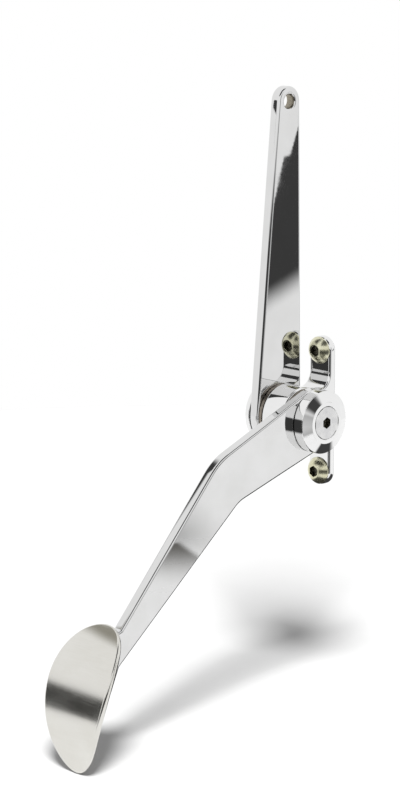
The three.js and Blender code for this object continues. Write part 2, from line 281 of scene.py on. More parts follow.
def round_hole(centre, radius):
    """A hole runs clockwise, and its normals point into it."""
    return arc(centre, radius, 0, -TURN, -1)[:-1]


def flatted_hole():
    """The hole that takes the shaft's flatted end."""
    radius = SHAFT_RADIUS + GAP
    top = asin((SHAFT_FLAT + GAP) / radius)
    ring = []
    for middle in (0, pi):
        first, last = middle - top, middle + top
        lower = on_circle((0, 0), radius, first)
        upper = on_circle((0, 0), radius, last)
        before_lower = (-lower[0], lower[1])
        after_lower = Vector(lower) + Vector((-sin(first), cos(first)))
        before_upper = Vector(upper) - Vector((-sin(last), cos(last)))
        after_upper = (-upper[0], upper[1])
        trim = setback(before_upper, upper, after_upper, FLAT_CORNER_RADIUS) / radius
        ring += corner(before_lower, lower, after_lower, FLAT_CORNER_RADIUS)
        ring += arc((0, 0), radius, first + trim, last - trim)
        ring += corner(before_upper, upper, after_upper, FLAT_CORNER_RADIUS)
    return [(y, z, -ny, -nz) for y, z, ny, nz in reversed(ring)]


# ------------------------------ meshes

def add_object(name, data):
    piece = bpy.data.objects.new(name, data)
    bpy.context.scene.collection.objects.link(piece)
    return piece


def build(name, points, faces, normals=None):
    """Makes a smooth mesh object. points are in millimetres from the pivot axis."""
    mesh = bpy.data.meshes.new(name)
    mesh.from_pydata([(x * MM, (y + PIVOT_Y) * MM, z * MM) for x, y, z in points], [], faces)
    mesh.update()
    tidy = bmesh.new()
    tidy.from_mesh(mesh)
    bmesh.ops.recalc_face_normals(tidy, faces=tidy.faces)
    for face in tidy.faces:
        face.smooth = True
    tidy.to_mesh(mesh)
    tidy.free()
    if normals:
        mesh.normals_split_custom_set_from_vertices(normals)
    return add_object(name, mesh)


def fill(loops, points):
    """Triangles that fill the flat area between an outer loop and the loops inside it."""
    flat = bmesh.new()
    edges = []
    for loop in loops:
        made = [flat.verts.new((points[i][1], points[i][2], 0)) for i in loop]
        edges += [flat.edges.new((made[i - 1], made[i])) for i in range(len(made))]
    order = [i for loop in loops for i in loop]
    flat.verts.index_update()
    bmesh.ops.triangle_fill(flat, edges=edges, use_beauty=True)
    faces = [[order[v.index] for v in face.verts] for face in flat.faces]
    flat.free()
    return faces


def bridge(lower, upper):
    """Quads between two closed rings of as many points."""
    return [[lower[i - 1], lower[i], upper[i], upper[i - 1]] for i in range(len(lower))]


def rounded_plate(name, outline, holes, near_x, far_x):
    """A flat plate between two X planes with every edge rounded."""
    points, normals, faces = [], [], []
    end_loops = {near_x: [], far_x: []}
    rings = [(-1, lean) for lean in reversed(EDGE_ANGLES)] + [(1, lean) for lean in EDGE_ANGLES]
    for loop in [outline, *holes]:
        previous = None
        for side, lean in rings:
            rim, face = cos(lean), side * sin(lean)
            inset = PLATE_EDGE * (1 - rim)
            face_x = far_x if side > 0 else near_x
            x = face_x - side * PLATE_EDGE * (1 - sin(lean))
            ring = range(len(points), len(points) + len(loop))
            points += [(x, y - ny * inset, z - nz * inset) for y, z, ny, nz in loop]
            normals += [(face, ny * rim, nz * rim) for _, _, ny, nz in loop]
            if previous:
                faces += bridge(previous, ring)
            if lean == EDGE_ANGLES[-1]:
                end_loops[face_x].append(ring)
            previous = ring
    for loops in end_loops.values():
        faces += fill(loops, points)
    return build(name, points, faces, normals)


def soften(profile, radius):
    """Rounds the corners of a closed profile of (radius, x) points. Each corner becomes a short arc."""
    run = [profile[-1], *profile, profile[0]]
    return [point[:2] for point in corners(run, [radius] * len(profile))]


def ring_points(radius, x, hexagon):
    """One ring about the X axis, round or hexagonal. A hexagon's radius is to its corners."""
    half_side = TURN / 12
    ring = []
    for step in range(ROUND_STEPS):
        angle = TURN * step / ROUND_STEPS
        reach = radius
        if hexagon:
            past_corner = (angle - half_side) % (2 * half_side)
            reach *= cos(half_side) / cos(past_corner - half_side)
        ring.append((x, reach * cos(angle), reach * sin(angle)))
    return ring


def turned(name, rings, closed=False):
    """A solid of rings about the X axis. Each ring is (radius, x) or (radius, x, "hex")."""
    points, faces, previous, first = [], [], None, None
    for entry in rings:
        radius, x = entry[:2]
        if radius == 0:
            current = [len(points)] * ROUND_STEPS
            points.append((x, 0, 0))
        else:
            current = list(range(len(points), len(points) + ROUND_STEPS))
            points += ring_points(radius, x, len(entry) > 2)
        if previous:
            faces += bridge(previous, current)
        previous = current
        first = first or current
    if closed:
        faces += bridge(previous, first)
    faces = [list(dict.fromkeys(face)) for face in faces]
    piece = build(name, points, faces)
    piece.data.set_sharp_from_angle(angle=SHARP_ANGLE)
    weigh_normals(piece)
    return piece


def break_edges(piece, width, steps):
    bevel = piece.modifiers.new("Broken edges", "BEVEL")
    bevel.width = width * MM
    bevel.segments = steps
    bevel.limit_method = "ANGLE"
    bevel.angle_limit = SHARP_ANGLE
    return bevel


def weigh_normals(piece, keep_sharp=True):
    weighted = piece.modifiers.new("Flat faces stay flat", "WEIGHTED_NORMAL")
    weighted.keep_sharp = keep_sharp


def swing(piece, angle, height=0):
    """Turns a piece about the vertical line through the pivot axis, and lifts it."""
    place = Matrix.Translation((HUB + UP * height) * MM)
    piece.data.transform(place @ Matrix.Rotation(angle, 4, "Z") @ Matrix.Translation(-HUB * MM))
    return piece


def to_lever_side(piece):
    return swing(piece, TURN / 2)


# ------------------------------ the moving pieces

def throttle_lever():
    """A plate from the hub up to the cable eye, whose wall takes the lever's second material."""
    front = tangent_angle((0, 0), HUB_RADIUS, LEVER_EYE, LEVER_EYE_RADIUS, 1)
    rear = tangent_angle((0, 0), HUB_RADIUS, LEVER_EYE, LEVER_EYE_RADIUS, -1)
    outline = arc((0, 0), HUB_RADIUS, front, rear + TURN)
    outline += arc(LEVER_EYE, LEVER_EYE_RADIUS, rear, front)
    holes = [round_hole(LEVER_EYE, CABLE_HOLE_RADIUS), flatted_hole()]
    lever = rounded_plate("lever", outline, holes, LEVER_LOW.x, LEVER_HIGH.x)
    for face in lever.data.polygons:
        y, z = face.center.y / MM - PIVOT_Y, face.center.z / MM
        if hypot(y - LEVER_EYE[0], z - LEVER_EYE[1]) < CABLE_HOLE_RADIUS + PLATE_EDGE / 3:
            face.material_index = 1
    return lever


def arm_outline():
    """Counterclockwise from the hub: along the top to the foot, and back along the bottom."""
    top = tangent_angle((0, 0), HUB_RADIUS, KNEE_TOP, 0, -1)
    bottom = tangent_angle((0, 0), HUB_RADIUS, KNEE_BOTTOM, 0, 1)
    hub_top = on_circle((0, 0), HUB_RADIUS, top)
    hub_bottom = on_circle((0, 0), HUB_RADIUS, bottom)
    foot_radius = SPOON_BACK_RADIUS - GAP
    foot_top = on_circle(SPOON_AXIS, foot_radius, pi - FOOT_TOP_ANGLE)
    foot_bottom = on_circle(SPOON_AXIS, foot_radius, pi - FOOT_BOTTOM_ANGLE)
    below_foot_top = Vector(foot_top) - Vector((sin(FOOT_TOP_ANGLE), cos(FOOT_TOP_ANGLE)))
    above_foot_bottom = Vector(foot_bottom)
    above_foot_bottom += Vector((sin(FOOT_BOTTOM_ANGLE), cos(FOOT_BOTTOM_ANGLE)))
    trim_top = setback(ARM_END_TOP, foot_top, below_foot_top, FOOT_CORNER_RADIUS) / foot_radius
    trim_bottom = setback(above_foot_bottom, foot_bottom, TOE, FOOT_CORNER_RADIUS) / foot_radius
    outline = arc((0, 0), HUB_RADIUS, bottom - TURN, top)
    outline += corners((hub_top, KNEE_TOP, ARM_END_TOP, foot_top, below_foot_top),
                       (KNEE_TOP_RADIUS, FOOT_CORNER_RADIUS, FOOT_CORNER_RADIUS))
    outline += arc(SPOON_AXIS, foot_radius, pi - FOOT_TOP_ANGLE + trim_top,
                   pi - FOOT_BOTTOM_ANGLE - trim_bottom)
    outline += corners((above_foot_bottom, foot_bottom, TOE, ARM_END_BOTTOM, KNEE_BOTTOM, hub_bottom),
                       (FOOT_CORNER_RADIUS, TOE_RADIUS, FOOT_CORNER_RADIUS, KNEE_BOTTOM_RADIUS))
    return outline


def pedal_arm():
    return rounded_plate("arm", arm_outline(), [flatted_hole()], ARM_LOW.x, ARM_HIGH.x)


def pad_outline(inset):
    """The pad's outline on its unrolled face: (x, angle, normal along x, normal up the face)."""
    sweep = (SPOON_TOP_ANGLE - SPOON_BOTTOM_ANGLE) / 2
    outline = []
    for step in range(SPOON_STEPS):
        turn = TURN * step / SPOON_STEPS
        up, across = cos(turn), sin(turn)
        x = SPOON_WIDTH / 2 * across * (1 + SPOON_EGG * up)
        x_rate = SPOON_WIDTH / 2 * (up + SPOON_EGG * (up * up - across * across))
        up_rate = -SPOON_RADIUS * sweep * across
        normal = Vector((-up_rate, x_rate)).normalized()
        angle = SPOON_MIDDLE_ANGLE + sweep * up - inset * normal.y / SPOON_RADIUS
        outline.append((x - inset * normal.x, angle, normal.x, normal.y))
    return outline


def pad_point(x, radius, angle):
    y, z = on_circle(SPOON_AXIS, radius, pi - angle)
    return ARM_MIDDLE_X + x, y, z


def pad_ring(shrink, side, lean):
    """A ring's points and normals. side is 1 in front and -1 behind, and lean goes from rim to face."""
    edge = SPOON_FRONT_EDGE if side > 0 else SPOON_BACK_EDGE
    depth = edge * (1 - sin(lean))
    radius = SPOON_RADIUS - depth if side > 0 else SPOON_BACK_RADIUS + depth
    rim, face = cos(lean), side * sin(lean)
    points, normals = [], []
    for x, angle, across, up in pad_outline(edge * (1 - rim)):
        angle = SPOON_MIDDLE_ANGLE + (angle - SPOON_MIDDLE_ANGLE) * shrink
        points.append(pad_point(x * shrink, radius, angle))
        normal_y = rim * up * sin(angle) - face * cos(angle)
        normal_z = rim * up * cos(angle) + face * sin(angle)
        normals.append((rim * across, normal_y, normal_z))
    return points, normals


def spoon_pad():
    """An egg-shaped plate bent about an axis along X, with a rounded rim."""
    flat = EDGE_ANGLES[-1]
    shrinks = [step / SPOON_RINGS for step in range(1, SPOON_RINGS)]
    rings = [(shrink, 1, flat) for shrink in shrinks]
    rings += [(1, 1, lean) for lean in reversed(EDGE_ANGLES)]
    rings += [(1, -1, lean) for lean in EDGE_ANGLES]
    rings += [(shrink, -1, flat) for shrink in reversed(shrinks)]
    points, normals, faces, loops = [], [], [], []
    for ring in rings:
        ring_places, ring_normals = pad_ring(*ring)
        loops.append(range(len(points), len(points) + SPOON_STEPS))
        points += ring_places
        normals += ring_normals
    for before, after in zip(loops, loops[1:]):
        faces += bridge(before, after)
    for side, radius, loop in ((1, SPOON_RADIUS, loops[0]), (-1, SPOON_BACK_RADIUS, loops[-1])):
        tip = len(points)
        points.append(pad_point(0, radius, SPOON_MIDDLE_ANGLE))
        normals.append((0, -side * cos(SPOON_MIDDLE_ANGLE), side * sin(SPOON_MIDDLE_ANGLE)))
        faces += [[loop[i - 1], loop[i], tip] for i in range(SPOON_STEPS)]
    return build("pad", points, faces, normals)


def weld_path():
    """Round the arm's foot on the back of the pad: (x, angle, normal along x, normal up the pad)."""
    half_width = (ARM_HIGH.x - ARM_LOW.x) / 2
    low, high = FOOT_BOTTOM_ANGLE * SPOON_BACK_RADIUS, FOOT_TOP_ANGLE * SPOON_BACK_RADIUS
    foot = [(half_width, low), (half_width, high), (-half_width, high), (-half_width, low)]
    path = []
    for i, at in enumerate(foot):
        after = foot[(i + 1) % len(foot)]
        path += corner(foot[i - 1], at, after, WELD_CORNER_RADIUS)
        x, along, across, up = path[-1]
        length = (Vector(after) - Vector((x, along))).length - WELD_CORNER_RADIUS
        steps = max(2, round(length / WELD_STEP))
        way = (Vector(after) - Vector(at)).normalized() * length
        for step in range(1, steps):
            path.append((x + way.x * step / steps, along + way.y * step / steps, across, up))
    return [(x, along / SPOON_BACK_RADIUS, across, up) for x, along, across, up in path]


def weld_bead():
    """A rippled fillet weld between the arm's foot and the back of the pad."""
    path = weld_path()
    points, faces = [], []
    travelled = 0
    for i, (x, angle, across, up) in enumerate(path):
        before = path[i - 1]
        travelled += hypot(x - before[0], (angle - before[1]) * SPOON_BACK_RADIUS)
        leg = WELD_LEG * (1 + WELD_RIPPLE * cos(TURN * travelled / WELD_PITCH))
        for step in range(WELD_SIDES):
            turn = TURN * step / WELD_SIDES
            out = leg * (WELD_MIDDLE + WELD_ROUND * cos(turn))
            height = leg * (WELD_MIDDLE + WELD_ROUND * sin(turn))
            place = angle + up * out / SPOON_BACK_RADIUS
            points.append(pad_point(x + across * out, SPOON_BACK_RADIUS - height, place))
    rings = [range(i * WELD_SIDES, (i + 1) * WELD_SIDES) for i in range(len(path))]
    for i, ring in enumerate(rings):
        faces += bridge(rings[i - 1], ring)
    return build("weld", points, faces)


# ------------------------------ the bracket

def shared(polygons):
    """Points and faces from polygons given by their corners, with equal corners shared."""
    places, points, faces = {}, [], []
    for polygon in polygons:
        face = []
        for point in polygon:
            key = tuple(round(value, 3) for value in point)
            if key not in places:
                places[key] = len(points)
                points.append(point)
            face.append(places[key])
        faces.append(face)
    return points, faces


def across_bracket(path):
    """Quads from one side of the bracket to the other along a (y, z) path."""
    half = BRACKET_HIGH.x
    polygons = []
    for start, end in zip(path, path[1:]):
        polygons.append([(-half, *start), (half, *start), (half, *end), (-half, *end)])
    return polygons


def ear_point(angle, radius, y, sign):
    """A point round the screw hole of the upper ear, sign 1, or the lower one, sign -1."""
    return radius * cos(angle), y, sign * (EAR_HEIGHT + radius * sin(angle))


def ear_end(sign):
    """An ear's round end, its screw hole, and the flat rings round the hole."""
    half = BRACKET_HIGH.x
    polygons = []
    for step in range(ROUND_STEPS):
        span = (TURN * step / ROUND_STEPS, TURN * (step + 1) / ROUND_STEPS)

        def strip(inner, outer, front, back):
            first, last = (ear_point(angle, inner, front, sign) for angle in span)
            far_first, far_last = (ear_point(angle, outer, back, sign) for angle in span)
            polygons.append([first, last, far_last, far_first])

        strip(SCREW_HOLE_RADIUS, SEAT_RADIUS, EAR_FRONT, EAR_FRONT)
        strip(SCREW_HOLE_RADIUS, SEAT_RADIUS, EAR_BACK, EAR_BACK)
        strip(SCREW_HOLE_RADIUS, SCREW_HOLE_RADIUS, EAR_FRONT, EAR_BACK)
        if step < ROUND_STEPS // 2:
            strip(SEAT_RADIUS, half, EAR_FRONT, EAR_FRONT)
            strip(SEAT_RADIUS, half, EAR_BACK, EAR_BACK)
            strip(half, half, EAR_FRONT, EAR_BACK)
    return polygons


def ear_faces(hollow_z):
    """The ears' ends and holes, their front faces down to the hollows, and the flat back."""
    half = BRACKET_HIGH.x
    inner_side = [TURN * step / ROUND_STEPS for step in range(ROUND_STEPS // 2, ROUND_STEPS + 1)]
    polygons, back = [], []
    for sign in (1, -1):
        polygons += ear_end(sign)
        front = [ear_point(angle, SEAT_RADIUS, EAR_FRONT, sign) for angle in inner_side]
        for x, z in ((half, EAR_HEIGHT), (half, hollow_z), (-half, hollow_z), (-half, EAR_HEIGHT)):
            front.append((x, EAR_FRONT, sign * z))
        polygons.append(front)
        back.append((-sign * half, EAR_BACK, sign * EAR_HEIGHT))
        back += [ear_point(angle, SEAT_RADIUS, EAR_BACK, sign) for angle in inner_side[::sign]]
        back.append((sign * half, EAR_BACK, sign * EAR_HEIGHT))
    return polygons + [back]


def bracket_sides(web, barrel, bore):
    """Both flat sides: the web behind the barrel, and the barrel's ends round the bore."""
    polygons = []
    for x in (-BRACKET_HIGH.x, BRACKET_HIGH.x):
        polygons.append([(x, y, z) for y, z in web])
        for i in range(len(barrel) - 1):
            polygons.append([(x, *barrel[i]), (x, *barrel[i + 1]), (x, *bore[i + 1]), (x, *bore[i])])
    return polygons


def arc_places(centre, radius, start, end):
    return [point[:2] for point in arc(centre, radius, start, end)]


def pivot_bracket():
    """A bar with two round-ended ears and a barrel across its middle."""
    hollow_y = EAR_FRONT - EAR_FILLET
    hollow_z = sqrt((BARREL_RADIUS + EAR_FILLET) ** 2 - hollow_y ** 2)
    touch = atan2(hollow_z, hollow_y)
    inner_arc = arc_places((0, 0), BARREL_RADIUS, -touch, touch)
    outer_arc = arc_places((0, 0), BARREL_RADIUS, touch, TURN - touch)
    upper_hollow = arc_places((hollow_y, hollow_z), EAR_FILLET, touch - TURN / 2, 0)
    lower_hollow = [(y, -z) for y, z in reversed(upper_hollow)]
    barrel = inner_arc + outer_arc[1:]
    bore = [(y * BORE_RADIUS / BARREL_RADIUS, z * BORE_RADIUS / BARREL_RADIUS) for y, z in barrel]
    web = inner_arc + upper_hollow[1:] + [(EAR_FRONT, EAR_HEIGHT), (EAR_BACK, EAR_HEIGHT)]
    web += [(EAR_BACK, -EAR_HEIGHT), (EAR_FRONT, -EAR_HEIGHT)] + lower_hollow[:-1]
    polygons = []
    for path in (outer_arc, upper_hollow, lower_hollow, bore):
        polygons += across_bracket(path)
    polygons += bracket_sides(web, barrel, bore) + ear_faces(hollow_z)
    bracket = build("bracket", *shared(polygons))
    break_edges(bracket, BRACKET_EDGE, EDGE_STEPS).use_clamp_overlap = False
    weigh_normals(bracket, keep_sharp=False)
    return bracket


# ------------------------------ turned pieces

def flanged_bushing(name):
    inner = SHAFT_RADIUS + GAP
    outer = inner + BUSHING_WALL
    profile = [(inner, GAP), (outer, GAP), (outer, FLANGE_LOW_X), (FLANGE_RADIUS, FLANGE_LOW_X),
               (FLANGE_RADIUS, FLANGE_HIGH.x), (inner, FLANGE_HIGH.x)]
    return turned(name, soften(profile, BUSHING_EDGE), closed=True)


def end_cap(name, back, face):
    """A bevelled disc with a countersunk hole, between two X planes."""
    mouth = FLAT_HEAD_RADIUS + GAP
    cone_end = max(SCREW_HOLE_RADIUS, mouth - (face - back) * COUNTERSINK_SLOPE)
    cone_x = face - (mouth - cone_end) / COUNTERSINK_SLOPE
    profile = [(cone_end, back), (HUB_RADIUS, back), (HUB_RADIUS, face - CAP_BEVEL),
               (CAP_FACE_RADIUS, face), (mouth, face)]
    if cone_x > back:
        profile.append((cone_end, cone_x))
    return turned(name, soften(profile, CAP_EDGE), closed=True)


def hex_socket(x):
    """Rings of a hex socket that goes in from a flat end at x."""
    bottom = x - HEX_DEPTH
    return [(HEX_CORNER_RADIUS + HEX_CHAMFER, x, "hex"), (HEX_CORNER_RADIUS, x - HEX_CHAMFER, "hex"),
            (HEX_CORNER_RADIUS, bottom, "hex"), (HEX_POINT_RADIUS, bottom), (0, bottom - HEX_POINT_DEPTH)]


def darken_socket(screw, end):
    """Gives the inside of the hex socket, in the flat end at X = end, the second material, which paints
    shade into the recess.
    """
    for face in screw.data.polygons:
        reach = hypot(face.center.y / MM - PIVOT_Y, face.center.z / MM)
        depth = end - face.center.x / MM
        if reach < HEX_CORNER_RADIUS and HEX_CHAMFER < depth < 2 * HEX_DEPTH:
            face.material_index = 1


def screw_body(tip, end):
    """Rings from the chamfered tip up to where the head starts."""
    return [(0, tip), (SCREW_RADIUS - THREAD_CHAMFER, tip), (SCREW_RADIUS, tip + THREAD_CHAMFER),
            (SCREW_RADIUS, end)]


def flat_head_screw(name, tip, face):
    head = face - (FLAT_HEAD_RADIUS - SCREW_RADIUS) / COUNTERSINK_SLOPE
    rim = [(FLAT_HEAD_RADIUS, face - HEAD_EDGE), (FLAT_HEAD_RADIUS - HEAD_EDGE, face)]
    screw = turned(name, screw_body(tip, head) + rim + hex_socket(face))
    darken_socket(screw, face)
    return screw


def dome_rings(seat):
    """The button head's dome, an arc from the rim over the seat to the flat crown."""
    middle_height = (BUTTON_HEAD_HEIGHT + BUTTON_RIM_HEIGHT) / 2
    spread = BUTTON_HEAD_RADIUS ** 2 - BUTTON_CROWN_RADIUS ** 2
    centre = middle_height - spread / (2 * (BUTTON_HEAD_HEIGHT - BUTTON_RIM_HEIGHT))
    radius = hypot(BUTTON_HEAD_RADIUS, BUTTON_RIM_HEIGHT - centre)
    low = atan2(BUTTON_RIM_HEIGHT - centre, BUTTON_HEAD_RADIUS)
    high = atan2(BUTTON_HEAD_HEIGHT - centre, BUTTON_CROWN_RADIUS)
    rings = []
    for step in range(DOME_STEPS + 1):
        angle = low + (high - low) * step / DOME_STEPS
        rings.append((radius * cos(angle), seat + centre + radius * sin(angle)))
    return rings


def button_head_screw(name, height):
    """A domed screw that goes into an ear along +Y. It is turned about X first, head outward."""
    seat = -(EAR_FRONT - GAP)
    crown = seat + BUTTON_HEAD_HEIGHT
    head = [(BUTTON_HEAD_RADIUS, seat)] + dome_rings(seat)
    screw = turned(name, screw_body(-EAR_BACK, seat) + head + hex_socket(crown))
    darken_socket(screw, crown)
    return swing(screw, -TURN / 4, height)


# ------------------------------ materials

class Look:
    """A node material around one Principled shader. Patterns are in object coordinates, in millimetres."""

    def __init__(self, name, metallic=1):
        self.material = bpy.data.materials.new(name)
        self.material.use_nodes = True
        self.tree = self.material.node_tree
        self.shader = self.tree.nodes["Principled BSDF"]
        self.shader.inputs["Metallic"].default_value = metallic
        self.place = self.node("ShaderNodeTexCoord").outputs["Object"]

    def node(self, kind, **settings):
        made = self.tree.nodes.new(kind)
        for name, value in settings.items():
            setattr(made, name, value)
        return made

    def link(self, output, socket):
        self.tree.links.new(output, socket)

    def pattern(self, spacing, detail=2, wobble=0):
        """Noise from 0 to 1. spacing is its size in millimetres, one number or one for each axis."""
        sizes = spacing if isinstance(spacing, tuple) else (spacing,) * 3
        mapping = self.node("ShaderNodeMapping")
        mapping.inputs["Scale"].default_value = [1 / (size * MM) for size in sizes]
        noise = self.node("ShaderNodeTexNoise")
        noise.inputs["Scale"].default_value = 1
        noise.inputs["Detail"].default_value = detail
        noise.inputs["Distortion"].default_value = wobble
        self.link(self.place, mapping.inputs["Vector"])
        self.link(mapping.outputs["Vector"], noise.inputs["Vector"])
        return noise.outputs["Fac"]

    def grooves(self, pitch):
        """Turning marks: rings about the pivot axis, pitch millimetres apart."""
        shift = self.node("ShaderNodeVectorMath", operation="SUBTRACT")
        shift.inputs[1].default_value = HUB * MM
        self.link(self.place, shift.inputs[0])
        flatten = self.node("ShaderNodeVectorMath", operation="MULTIPLY")
        flatten.inputs[1].default_value = (0, 1, 1)
        self.link(shift.outputs[0], flatten.inputs[0])
        length = self.node("ShaderNodeVectorMath", operation="LENGTH")
        self.link(flatten.outputs[0], length.inputs[0])
        noise = self.node("ShaderNodeTexNoise", noise_dimensions="1D")
        noise.inputs["Scale"].default_value = 1 / (pitch * MM)
        noise.inputs["Detail"].default_value = 3
        self.link(length.outputs["Value"], noise.inputs["W"])
        return noise.outputs["Fac"]

    def spread(self, pattern, low, high, start=0.35, end=0.65):
        """Maps a pattern's range start to end onto low to high."""
        remap = self.node("ShaderNodeMapRange")
        remap.inputs["From Min"].default_value = start
        remap.inputs["From Max"].default_value = end
        remap.inputs["To Min"].default_value = low
        remap.inputs["To Max"].default_value = high
        self.link(pattern, remap.inputs["Value"])
        return remap.outputs["Result"]

    def total(self, layers):
        """Adds up layers. Each holds what spread takes: a pattern, low, high and perhaps its range."""
        value = self.spread(*layers[0])
        for layer in layers[1:]:
            adding = self.node("ShaderNodeMath", operation="ADD")
            self.link(value, adding.inputs[0])
            self.link(self.spread(*layer), adding.inputs[1])
            value = adding.outputs[0]
        return value

    def colours(self, low_colour, high_colour, *layers):
        """Goes from one colour to the other as the layers' total goes from 0 to 1."""
        mix = self.node("ShaderNodeMix", data_type="RGBA")
        mix.inputs["A"].default_value = (*low_colour, 1)
        mix.inputs["B"].default_value = (*high_colour, 1)
        self.link(self.total(layers), mix.inputs["Factor"])
        self.link(mix.outputs["Result"], self.shader.inputs["Base Color"])

    def roughness(self, *layers):
        self.link(self.total(layers), self.shader.inputs["Roughness"])

    def bumps(self, *layers):
        """Each layer is (pattern, height in millimetres)."""
        normal = None
        for pattern, height in layers:
            bump = self.node("ShaderNodeBump")
            bump.inputs["Distance"].default_value = height * MM
            self.link(pattern, bump.inputs["Height"])
            if normal:
                self.link(normal, bump.inputs["Normal"])
            normal = bump.outputs["Normal"]
        self.link(normal, self.shader.inputs["Normal"])


def chrome(name, lines, tone):
    """Mirror polish with a faint haze, fine polishing lines and a few smudges."""
    look = Look(name)
    haze = look.pattern(9, 3)
    polish = look.pattern(lines, 4)
    smudge = look.pattern(22, 5, 0.6)
    look.roughness((haze, 0.006, 0.02), (polish, -0.004, 0.008), (smudge, 0, 0.03, 0.58, 0.72))
    dark, light = (tone - 0.02, tone - 0.02, tone - 0.025), (tone + 0.02, tone + 0.02, tone + 0.02)
    look.colours(dark, light, (look.pattern(14, 4), 0, 0.6), (polish, 0, 0.4))
    look.bumps((look.pattern(26, 1), 0.014), (polish, 0.0002))
    return look.material


def satin_pad():
    """Fine brushing across the pad, a little warmer than the polished pieces."""
    look = Look("pad_satin")
    brush = look.pattern((9, 0.16, 0.16), 5)
    cloudy = look.pattern(12, 3)
    look.roughness((brush, 0.145, 0.185), (cloudy, -0.02, 0.03))
    look.colours((0.68, 0.665, 0.62), (0.745, 0.735, 0.70), (brush, 0, 0.5), (cloudy, 0, 0.5))
    look.bumps((look.pattern(20, 1), 0.02), (brush, 0.0006))
    return look.material


def yellow_zinc():
    """Pale yellow passivated zinc, slightly patchy."""
    look = Look("zinc_yellow")
    patches = look.pattern(4, 3, 0.5)
    look.colours((0.66, 0.64, 0.45), (0.76, 0.745, 0.57), (patches, 0, 1))
    look.roughness((patches, 0.23, 0.27), (look.pattern(0.6), -0.01, 0.01))
    look.bumps((look.pattern(1.2, 2), 0.0004))
    return look.material


def bright_steel():
    """The cap screws' faced heads, with fine turning marks."""
    look = Look("cap_steel")
    rings = look.grooves(0.22)
    look.colours((0.62, 0.62, 0.625), (0.72, 0.72, 0.715), (look.pattern(2.5, 3), 0, 1))
    look.roughness((rings, 0.07, 0.15), (look.pattern(1.6), 0, 0.05))
    look.bumps((rings, 0.0015), (look.pattern(0.6, 3), 0.001))
    return look.material


def oily_shaded_bronze():
    """Sintered bronze with fine pores and turning marks, dark partly from oil and partly as painted shade
    for its recessed flange beside the barrel.
    """
    look = Look("bushing_oil_and_shade")
    pores = look.pattern(0.35, 4)
    rings = look.grooves(0.3)
    # These dark tones are partly oily bronze and partly painted shade for the recessed flange ring.
    look.colours((0.17, 0.15, 0.13), (0.30, 0.265, 0.22), (look.pattern(3, 4), 0, 1))
    look.roughness((pores, 0.26, 0.4), (rings, -0.03, 0.03))
    look.bumps((rings, 0.002), (pores, 0.003))
    return look.material


def dark_hollow_metal(name, dark, light):
    """Dull, dark, patchy metal: painted shade inside the hex sockets, and a darker wall for the cable eye.
    """
    look = Look(name)
    blotches = look.pattern(0.9, 4, 0.5)
    look.colours(dark, light, (blotches, 0, 1))
    look.roughness((blotches, 0.3, 0.55))
    look.bumps((look.pattern(0.4, 3), 0.004))
    return look.material


def turned_steel():
    """Plain steel with turning marks round it and on its ends."""
    look = Look("shaft_turned")
    rings = look.grooves(0.25)
    lines = look.pattern((0.14, 40, 40), 3)
    look.colours((0.44, 0.44, 0.45), (0.58, 0.58, 0.58), (look.pattern(4, 4), 0, 1))
    look.roughness((lines, 0.18, 0.3), (rings, 0, 0.06))
    look.bumps((lines, 0.002), (look.pattern(1.2, 3), 0.002))
    return look.material


def weld_metal():
    """Rough weld metal with a little heat tint."""
    look = Look("weld_steel")
    tint = look.pattern(2.5, 4, 0.5)
    look.colours((0.36, 0.33, 0.29), (0.6, 0.59, 0.57), (tint, 0, 1))
    look.roughness((tint, 0.24, 0.36), (look.pattern(0.4), -0.04, 0.05))
    look.bumps((look.pattern(0.5, 3), 0.03))
    return look.material


def floor_paper():
    look = Look("studio_floor", metallic=0)
    look.shader.inputs["Roughness"].default_value = 0.9
    look.shader.inputs["Specular IOR Level"].default_value = 0.1
    look.colours((FLOOR_TONE * 0.985,) * 3, (FLOOR_TONE * 1.015,) * 3, (look.pattern(60, 3), 0, 1))
    look.bumps((look.pattern(0.8, 3), 0.01))
    return look.material


# ------------------------------ the object

def finish_piece(piece, material, body, node=None, inside=None):
    """Gives a piece its materials and body, and hides the CAD node it stands for. inside is the material
    of its second kind of face.
    """
    for look in (material, inside):
        if look:
            piece.data.materials.append(look)
    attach(piece, body)
    if node:
        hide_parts(node)


